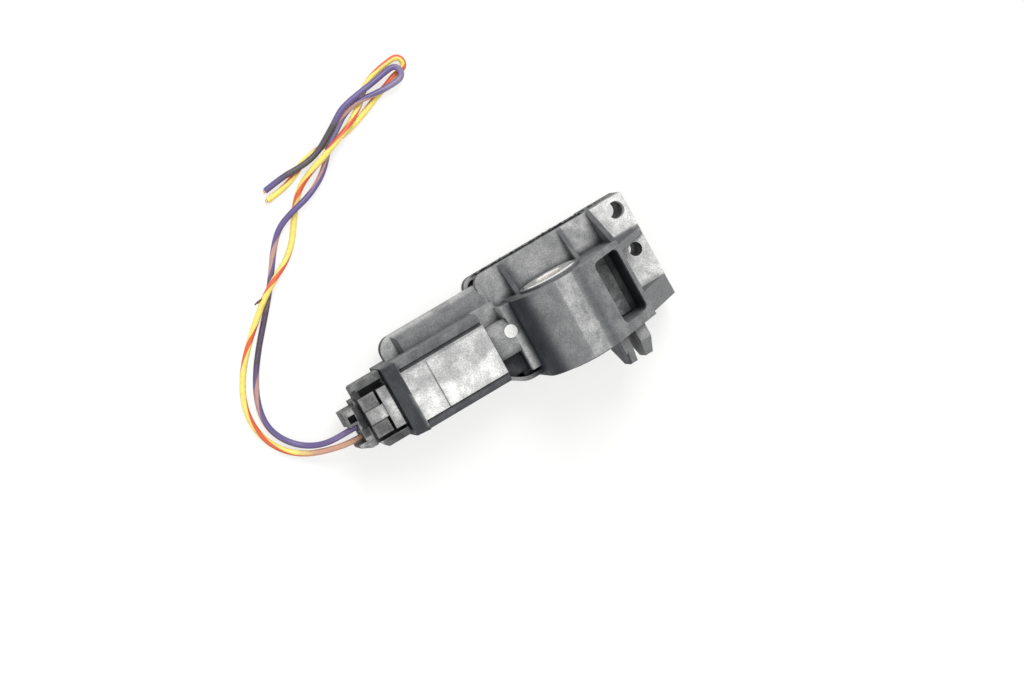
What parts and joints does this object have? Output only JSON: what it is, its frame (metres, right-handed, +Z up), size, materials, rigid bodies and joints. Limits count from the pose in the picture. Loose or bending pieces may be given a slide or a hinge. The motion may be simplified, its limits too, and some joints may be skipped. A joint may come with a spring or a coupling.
{
  "type": "airbag crash sensor",
  "caption": "Front impact sensor with a moulded housing, a steel-lined bolt boss, a slotted locating peg and a fitted two-wire plug on cut wires.",
  "frame": {"origin": "on the table, under the middle of the sensor and its plug, without the wires", "axes": "+X from the plug towards the end block, +Y along the bolt axis away from the locating peg, +Z up from the rear cover"},
  "size_m": [0.1246, 0.1086, 0.0351],
  "materials": {
    "housing_plastic": "moulded, dusty and scuffed on top",
    "cover_plastic": "moulded",
    "seal_rubber": "matte",
    "bushing_steel": "plated, slightly golden",
    "board": "coated",
    "chip": "moulded",
    "capacitor": "ceramic",
    "contact": "tinned",
    "plug_plastic": "moulded, scuffed",
    "retainer_plastic": "moulded",
    "wire_yellow": "smooth, striped",
    "wire_violet": "smooth, striped",
    "copper": "bare strands"
  },
  "bodies": {
    "sensor": {"sensor_housing": "housing_plastic", "rear_cover": "cover_plastic", "cover_seal": "seal_rubber", "mounting_bushing": "bushing_steel", "circuit_board": "board", "acceleration_chip": "chip", "interface_chip": "chip", "filter_capacitors": "capacitor", "header_pin_upper": "contact", "header_pin_lower": "contact", "plug_housing": "plug_plastic", "terminal_retainer": "retainer_plastic", "interface_seal": "seal_rubber", "wire_seal_upper": "seal_rubber", "wire_seal_lower": "seal_rubber", "socket_terminal_upper": "contact", "socket_terminal_lower": "contact", "wire_yellow": "wire_yellow", "wire_violet": "wire_violet", "copper_end_yellow": "copper", "copper_end_violet": "copper"},
    "latch": {"latch_lever": "plug_plastic"}
  },
  "joints": [
    {"name": "latch_press", "type": "hinge", "parent": "sensor", "child": "latch", "pos_m": [-0.01565, 0.0025, 0.0159], "axis": [0, -1, 0], "range_deg": [0, 3.8], "stiffness_Nm_per_rad": 0.6}
  ]
}
